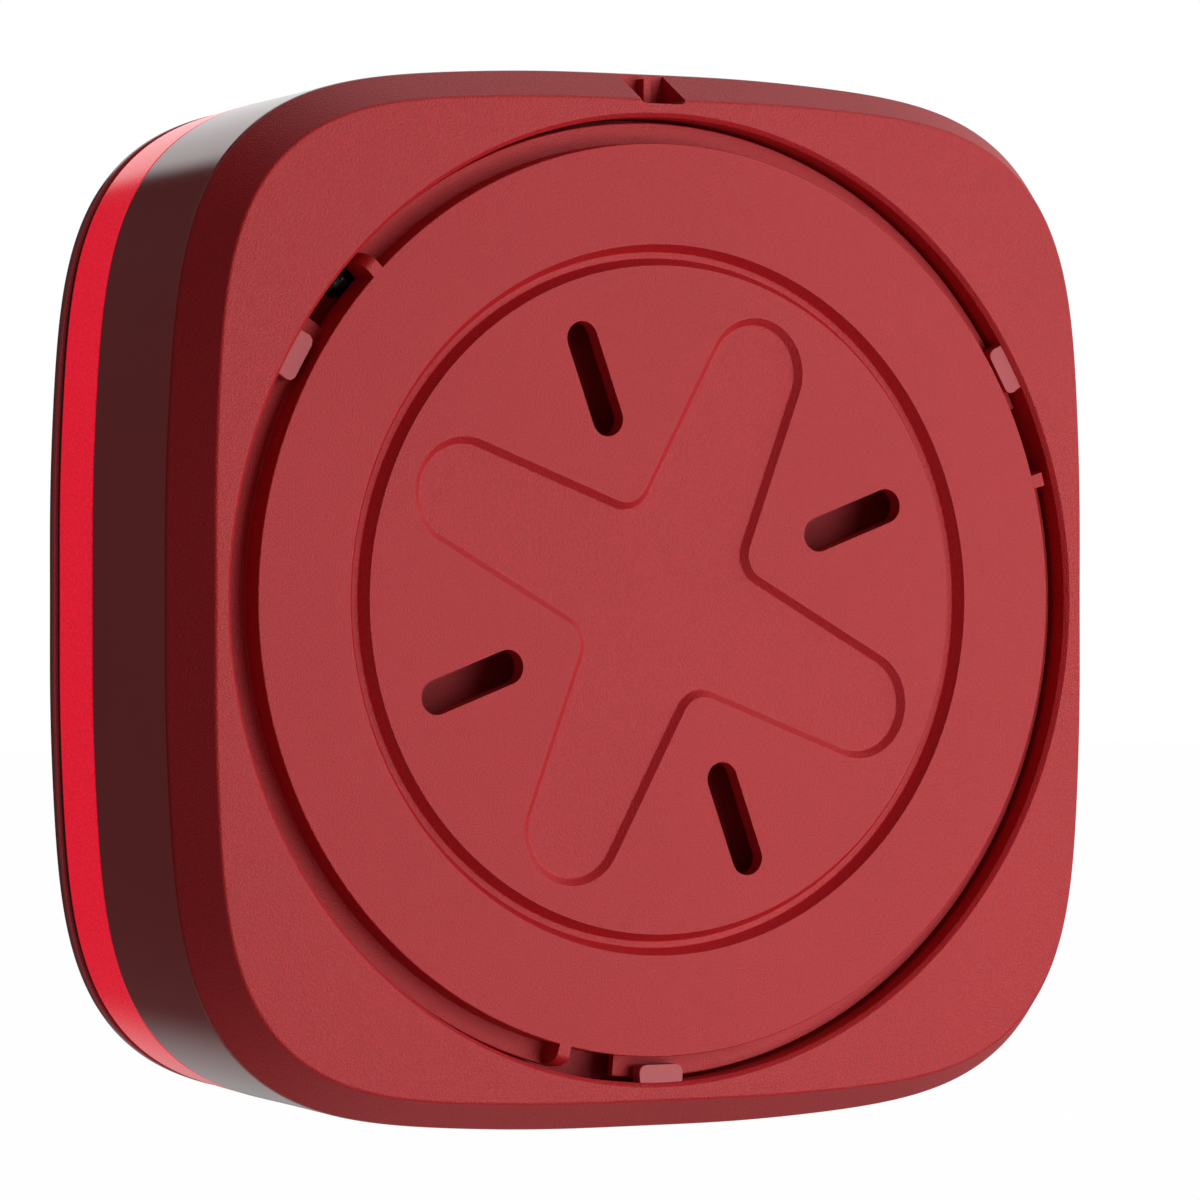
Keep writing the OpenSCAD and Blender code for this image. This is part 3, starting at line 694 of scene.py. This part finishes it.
def recess_holes():
    """(x, up, radius) of each hole through the recess floor."""
    holes = [(0, BUTTON_UP, BUTTON_HOLE_R)]
    for k in range(4):
        a = math.radians(BOSS_ANGLE + 90 * k)
        holes.append((BOSS_R * math.cos(a), BOSS_R * math.sin(a), SCREW_HOLE_R))
    a = math.radians(PLUNGER_ANGLE)
    holes.append((PLUNGER_AT * math.cos(a), PLUNGER_AT * math.sin(a), PLUNGER_HOLE_R))
    return holes


def shell_cuts(floor_in):
    """What is cut from the rear shell: the top notch and the holes in the recess floor."""
    bm = bmesh.new()
    notch = top_notch()
    add_prism(bm, lambda depth: at_depth(notch, depth), -1, TOP_NOTCH_END)
    for x, up, radius in recess_holes():
        add_prism(bm, lambda depth: [p + world(x, up, 0) for p in circle_ring(radius, depth, 48)],
                  RECESS_FLOOR - 0.5, floor_in + 0.5)
    return new_object("shell_cuts", bm)


def rear_shell():
    """Rear moulding: recess with hooks, chamfered edge, and the notch at the top."""
    floor_in = RECESS_FLOOR + FLOOR_T
    recess = [
        (RECESS_R - 0.3, RECESS_FLOOR), (RECESS_R - 0.08, RECESS_FLOOR - 0.08),
        (RECESS_R, RECESS_FLOOR - 0.3), (RECESS_R, WALL_GAP + BEVEL + 0.06),
        (RECESS_R + 0.03, WALL_GAP + BEVEL - 0.03), (RECESS_R + BEVEL - 0.06, WALL_GAP + 0.06),
        (RECESS_R + BEVEL + 0.08, WALL_GAP),
    ]
    spigot_out = WALL + 0.5
    spigot_in = WALL + 2.4
    spigot_end = SHELL_SPLIT + SPIGOT_L
    spigot = [(spigot_out, SHELL_SPLIT), (spigot_out, spigot_end), (spigot_in, spigot_end),
              (spigot_in, SHELL_SPLIT)]
    tub = [(RECESS_R + TUB_T, SHELL_SPLIT + 0.4), (RECESS_R + TUB_T, floor_in)]
    bm = bmesh.new()
    rings = [circle_ring(r, d) for r, d in recess]
    rings += [outline_ring(inset, d) for inset, d in rear_edge() + spigot]
    rings += [circle_ring(r, d) for r, d in tub]
    verts = add_rings(bm, rings)
    cap(bm, verts[0])
    cap(bm, verts[-1])
    shell = new_object("rear_shell_look", bm)
    cut(shell, shell_cuts(floor_in))
    join_into(shell, [notch_rib()])
    join_into(shell, [hook_mesh(HOOK_ANGLE + 120 * k) for k in range(3)], slot=1)
    smooth(shell)
    paint(shell, "shell_plastic", "hook_plastic")
    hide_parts("rear_shell")
    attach(shell, "housing")


# ---------------------------------------------------------------- side band, ring and front
def outline_shell(name, node, finish, profile):
    """Closed ring whose cross-section is a loop of (inset, depth) points."""
    bm = bmesh.new()
    add_rings(bm, [outline_ring(i, d) for i, d in profile], close_path=True)
    obj = new_object(name, bm)
    smooth(obj)
    paint(obj, finish)
    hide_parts(node)
    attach(obj, "housing")


def side_band():
    """Polished band between the rear shell and the light ring."""
    inner = RING_IN_REAR + WALL
    outline_shell("side_band_look", "side_band", "gloss_band", [
        (0.32, SHELL_SPLIT + 0.06), (0.12, SHELL_SPLIT + 0.12), (0.03, SHELL_SPLIT + 0.32),
        (0.03, SHELL_SPLIT + 0.7), (0.75, (SHELL_SPLIT + RING_START) / 2),
        (RING_IN_REAR - 0.02, RING_START - 0.5), (RING_IN_REAR + 0.02, RING_START - 0.22),
        (RING_IN_REAR + 0.12, RING_START - 0.08), (RING_IN_REAR + 0.3, RING_START - 0.04),
        (inner, RING_START - 0.04), (WALL + 0.1, SHELL_SPLIT + 0.06),
    ])


def light_ring():
    """Light diffuser round the side."""
    outline_shell("light_ring_look", "light_ring", "ring_diffuser", [
        (RING_IN_REAR + 0.3, RING_START + 0.04), (RING_IN_REAR + 0.12, RING_START + 0.08),
        (RING_IN_REAR + 0.03, RING_START + 0.25), (RING_IN_REAR + 0.05, RING_START + 0.5),
        ((RING_IN_REAR + RING_IN_FRONT) / 2, (RING_START + RING_END) / 2),
        (RING_IN_FRONT - 0.02, RING_END - 0.5), (RING_IN_FRONT + 0.02, RING_END - 0.2),
        (RING_IN_FRONT + 0.12, RING_END - 0.05), (RING_IN_FRONT + 0.3, RING_END),
        (RING_IN_FRONT + RING_WALL, RING_END), (RING_IN_REAR + RING_WALL, RING_START + 0.04),
    ])


def front_trim():
    """Dark gasket, and a bezel between the ring and the cover whose pale colour is painted light.
    """
    inner = RING_IN_FRONT + TRIM_W
    outline_shell("front_gasket_look", "front_gasket", "seal_rubber", [
        (RING_IN_FRONT + 0.75, RING_END + 0.02), (RING_IN_FRONT + 0.6, RING_END + 0.3),
        (RING_IN_FRONT + 0.6, BEZEL_START - 0.3), (RING_IN_FRONT + 0.75, BEZEL_START - 0.02),
        (inner, BEZEL_START - 0.02), (inner, RING_END + 0.02),
    ])
    outline_shell("front_bezel_look", "front_bezel", "bezel_plastic", [
        (RING_IN_FRONT + 0.3, BEZEL_START), (RING_IN_FRONT + 0.15, BEZEL_START + 0.1),
        (RING_IN_FRONT + 0.1, BEZEL_START + 0.3), (RING_IN_FRONT + 0.1, COVER_START - 0.25),
        (RING_IN_FRONT + 0.2, COVER_START - 0.08), (RING_IN_FRONT + 0.4, COVER_START),
        (inner, COVER_START), (inner, BEZEL_START),
    ])


def front_cover():
    """Crowned glossy cover with a round opening for the grille."""
    skirt_out = RING_IN_FRONT + RING_WALL + 0.3
    skirt_in = 6.8
    skirt_start = COVER_START - COVER_SKIRT_L
    top = HOUSING_DEPTH
    under = top - COVER_T
    # side of the rim, a quarter ellipse over its edge, then the shallow crown
    round_at = 5.55
    round_from = top - 1.75
    edge = [(2.75, COVER_START + 0.03), (2.60, COVER_START + 0.15), (2.55, COVER_START + 0.5)]
    edge += [(round_at - 3.0 * math.cos(t), round_from + 1.62 * math.sin(t))
             for t in (math.pi / 2 * i / 10 for i in range(11))]
    edge += [(9, top - 0.09), (14, top - 0.04), (20, top)]
    bm = bmesh.new()
    rings = [outline_ring(i, d) for i, d in edge]
    opening = [(GRILLE_R + 0.5, top), (GRILLE_R + 0.22, top - 0.05), (GRILLE_R + 0.1, top - 0.2),
               (GRILLE_R + 0.1, under)]
    rings += [circle_ring(r, d) for r, d in opening]
    rings += [outline_ring(i, d) for i, d in (
        (skirt_in, under), (skirt_in, skirt_start), (skirt_out, skirt_start),
        (skirt_out, COVER_START + 0.03))]
    add_rings(bm, rings, close_path=True)
    cover = new_object("front_cover_look", bm)
    smooth(cover)
    paint(cover, "cover_plastic")
    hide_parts("front_cover")
    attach(cover, "housing")


def grille_slots():
    """(radius, start, end) of each arc slot in the grille."""
    slots = []
    for row in range(GRILLE_ROWS):
        r = GRILLE_FIRST_R + row * GRILLE_PITCH
        count = 3 + row
        gap = math.degrees(GRILLE_BAR / r)
        for k in range(count):
            slots.append((r, k * 360 / count + gap / 2, (k + 1) * 360 / count - gap / 2))
    return slots


def slot_band(r, start, end, grow):
    """Outline of one arc slot with round ends, grown outwards."""
    mid = r + GRILLE_SLOT / 2
    half = GRILLE_SLOT / 2 + grow
    trim = math.degrees((GRILLE_SLOT / 2) / mid)
    a0 = start + trim
    a1 = end - trim
    c0 = (mid * math.cos(math.radians(a0)), mid * math.sin(math.radians(a0)))
    c1 = (mid * math.cos(math.radians(a1)), mid * math.sin(math.radians(a1)))
    steps = max(8, int((a1 - a0) / 3))
    return (arc((0, 0), mid + half, a0, a1, steps) + arc(c1, half, a1, a1 + 180, 8)[1:-1]
            + arc((0, 0), mid - half, a1, a0, steps) + arc(c0, half, a0 + 180, a0 + 360, 8)[1:-1])


def sound_grille():
    """Round grille with rows of arc slots, and a lip behind the cover."""
    top = HOUSING_DEPTH - 0.25
    under = HOUSING_DEPTH - COVER_T
    lip_out = GRILLE_R + GRILLE_LIP_W
    lip_under = under - GRILLE_LIP
    bm = bmesh.new()
    rim = [(GRILLE_R - 0.35, top), (GRILLE_R - 0.12, top - 0.05), (GRILLE_R - 0.02, top - 0.2),
           (GRILLE_R - 0.02, under), (lip_out, under), (lip_out, lip_under),
           (GRILLE_R - 0.6, lip_under)]
    turn = add_rings(bm, [circle_ring(r, d, 360) for r, d in rim])
    tops = []
    bottoms = []
    for r, start, end in grille_slots():
        loops = [(0.2, top), (0.07, top - 0.05), (0, top - 0.2), (0, lip_under)]
        band = add_rings(bm, [at_depth(slot_band(r, start, end, g), d) for g, d in loops])
        tops.append(band[0])
        bottoms.append(band[-1])
    fill(bm, [turn[0]] + tops)
    fill(bm, [turn[-1]] + bottoms)
    grille = new_object("sound_grille_look", bm)
    smooth(grille)
    paint(grille, "cover_plastic")
    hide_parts("sound_grille")
    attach(grille, "housing")


def tamper_spring():
    """Coil under the plunger, built at one length; the real one shortens as the plunger goes in.
    """
    wire = 0.15
    coil_r = 1.9
    turns = 3
    steps = 48
    sides = 10
    low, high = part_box("tamper_spring")
    start = -high[1] / MM
    end = -low[1] / MM
    centre = polar(PLUNGER_AT, PLUNGER_ANGLE, 0)
    count = turns * steps
    rings = []
    for k in range(count + 1):
        turn = 2 * math.pi * k / steps
        depth = start + wire + (end - start - 2 * wire) * k / count
        ring = []
        for i in range(sides):
            a = 2 * math.pi * i / sides
            reach = coil_r + wire * math.cos(a)
            ring.append(centre + world(reach * math.cos(turn), reach * math.sin(turn),
                                       depth + wire * math.sin(a)))
        rings.append(ring)
    bm = bmesh.new()
    verts = add_rings(bm, rings)
    cap(bm, verts[0])
    cap(bm, verts[-1])
    spring = new_object("tamper_spring_look", bm)
    smooth(spring, 60)
    paint(spring, "shield_steel")
    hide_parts("tamper_spring")
    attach(spring, "housing")
    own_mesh(spring)


mounting_disc()
rear_shell()
side_band()
light_ring()
front_trim()
front_cover()
sound_grille()
tamper_spring()

# ---------------------------------------------------------------- CAD nodes that show as they are
REPLACED = {"mounting_disc", "rear_shell", "side_band", "light_ring", "front_gasket",
            "front_bezel", "front_cover", "sound_grille", "tamper_spring"}


def dress_cad_nodes():
    """Gives every CAD node that isn't replaced the material of its slot."""
    for node, slot in SLOT_OF.items():
        if node in REPLACED:
            continue
        obj = bpy.data.objects[node]
        name = "plunger_plastic" if node == "tamper_plunger" else slot
        for place in obj.material_slots:
            place.material = MATERIALS[name]


dress_cad_nodes()


# ---------------------------------------------------------------- floor, light and world
FLOOR_LEVEL = -0.32
FLOOR_REACH = 12.0
LOBE_SHARPNESS = 8
# Soft panels round the studio: azimuth and elevation in degrees, and brightness. The direction
# that the side band mirrors to the camera, near azimuth 300, stays dark.
PANELS = (
    (180, 35, 0.35), (315, 35, 0.22), (135, 35, 0.20), (45, 35, 0.14), (300, 0, 0.05),
    (225, 0, 0.10), (45, 0, 0.38), (158, 58, 0.10),
    (180, -35, 0.15), (315, -35, 0.12), (45, -35, 0.42),
    (292, -58, 0.35), (337, -58, 0.25),
)
# Lamps: name, place, size and power
LAMPS = (
    ("key", (-0.35, 0.90, 0), (0.5, 1.4), 5.9),
    ("side", (-0.55, 0.45, 0), (0.3, 1.2), 3.3),
)
# Softboxes with a clear edge: azimuth, elevation, radius and edge width in degrees, and brightness
SOFTBOXES = ((225, 42, 42, 3, 1.05), (225, -42, 40, 9, 0.50))


def make_floor():
    """Pale floor that the camera sees and that throws no colour back."""
    bm = bmesh.new()
    for x, y in ((-1, -1), (1, -1), (1, 1), (-1, 1)):
        bm.verts.new((x * FLOOR_REACH, y * FLOOR_REACH, FLOOR_LEVEL))
    bm.faces.new(bm.verts)
    floor = new_object("floor", bm)
    mat, nt, shader = material("floor")
    speck = noise(nt, 40, 2)
    nt.links.new(mix_colour(nt, speck, (0.030,) * 3, (0.036,) * 3), shader.inputs["Base Color"])
    nt.links.new(mix_colour(nt, speck, (0.975,) * 3, (0.985,) * 3),
                 shader.inputs["Emission Color"])
    shader.inputs["Roughness"].default_value = 1
    shader.inputs["Specular IOR Level"].default_value = 0
    shader.inputs["Emission Strength"].default_value = 1
    floor.data.materials.append(mat)
    floor.visible_diffuse = False
    floor.visible_glossy = False
    floor.visible_shadow = False
    floor.visible_transmission = False


def area_light(name, place, size, power):
    """Rectangular lamp that faces the object."""
    data = bpy.data.lights.new(name, "AREA")
    data.shape = "RECTANGLE"
    data.size, data.size_y = size
    data.energy = power
    lamp = bpy.data.objects.new(name, data)
    lamp.location = place
    lamp.rotation_mode = "QUATERNION"
    lamp.rotation_quaternion = (-Vector(place)).to_track_quat("-Z", "Z")
    bpy.context.scene.collection.objects.link(lamp)


def sphere_point(azimuth, elevation):
    a, e = math.radians(azimuth), math.radians(elevation)
    return (math.cos(e) * math.cos(a), math.cos(e) * math.sin(a), math.sin(e))


def panel_light(nt, direction, azimuth, elevation, brightness):
    """Soft-edged bright patch of the studio in one direction."""
    dot = nt.nodes.new("ShaderNodeVectorMath")
    dot.operation = "DOT_PRODUCT"
    dot.inputs[1].default_value = sphere_point(azimuth, elevation)
    nt.links.new(direction, dot.inputs[0])
    facing = nt.nodes.new("ShaderNodeMath")
    facing.operation = "MAXIMUM"
    facing.inputs[1].default_value = 0
    nt.links.new(dot.outputs["Value"], facing.inputs[0])
    lobe = nt.nodes.new("ShaderNodeMath")
    lobe.operation = "POWER"
    lobe.inputs[1].default_value = LOBE_SHARPNESS
    nt.links.new(facing.outputs[0], lobe.inputs[0])
    scaled = nt.nodes.new("ShaderNodeMath")
    scaled.operation = "MULTIPLY"
    scaled.inputs[1].default_value = brightness
    nt.links.new(lobe.outputs[0], scaled.inputs[0])
    return scaled.outputs[0]


def softbox(nt, direction, azimuth, elevation, radius, edge, brightness):
    """Round bright patch of the studio with a clear edge."""
    dot = nt.nodes.new("ShaderNodeVectorMath")
    dot.operation = "DOT_PRODUCT"
    dot.inputs[1].default_value = sphere_point(azimuth, elevation)
    nt.links.new(direction, dot.inputs[0])
    outside = math.cos(math.radians(radius + edge))
    inside = math.cos(math.radians(radius - edge))
    patch = ranged(nt, dot.outputs["Value"], outside, inside, 0, brightness)
    patch.node.interpolation_type = "SMOOTHSTEP"
    return patch


def make_world():
    """White to the camera. Everything else sees the panels and softboxes."""
    world_data = bpy.data.worlds.new("studio")
    bpy.context.scene.world = world_data
    world_data.use_nodes = True
    nt = world_data.node_tree
    nt.nodes.clear()
    direction = nt.nodes.new("ShaderNodeTexCoord").outputs["Generated"]
    total = None
    lights = [panel_light(nt, direction, *panel) for panel in PANELS]
    lights += [softbox(nt, direction, *box) for box in SOFTBOXES]
    for lit in lights:
        if total is not None:
            add = nt.nodes.new("ShaderNodeMath")
            add.operation = "ADD"
            nt.links.new(total, add.inputs[0])
            nt.links.new(lit, add.inputs[1])
            lit = add.outputs[0]
        total = lit
    panels = nt.nodes.new("ShaderNodeBackground")
    nt.links.new(total, panels.inputs["Strength"])
    backdrop = nt.nodes.new("ShaderNodeBackground")
    backdrop.inputs["Color"].default_value = (1, 1, 1, 1)
    mix = nt.nodes.new("ShaderNodeMixShader")
    nt.links.new(nt.nodes.new("ShaderNodeLightPath").outputs["Is Camera Ray"], mix.inputs["Fac"])
    nt.links.new(panels.outputs["Background"], mix.inputs[1])
    nt.links.new(backdrop.outputs["Background"], mix.inputs[2])
    out = nt.nodes.new("ShaderNodeOutputWorld")
    nt.links.new(mix.outputs["Shader"], out.inputs["Surface"])


make_floor()
make_world()
for lamp_row in LAMPS:
    area_light(*lamp_row)
bpy.context.scene.view_settings.view_transform = "Standard"
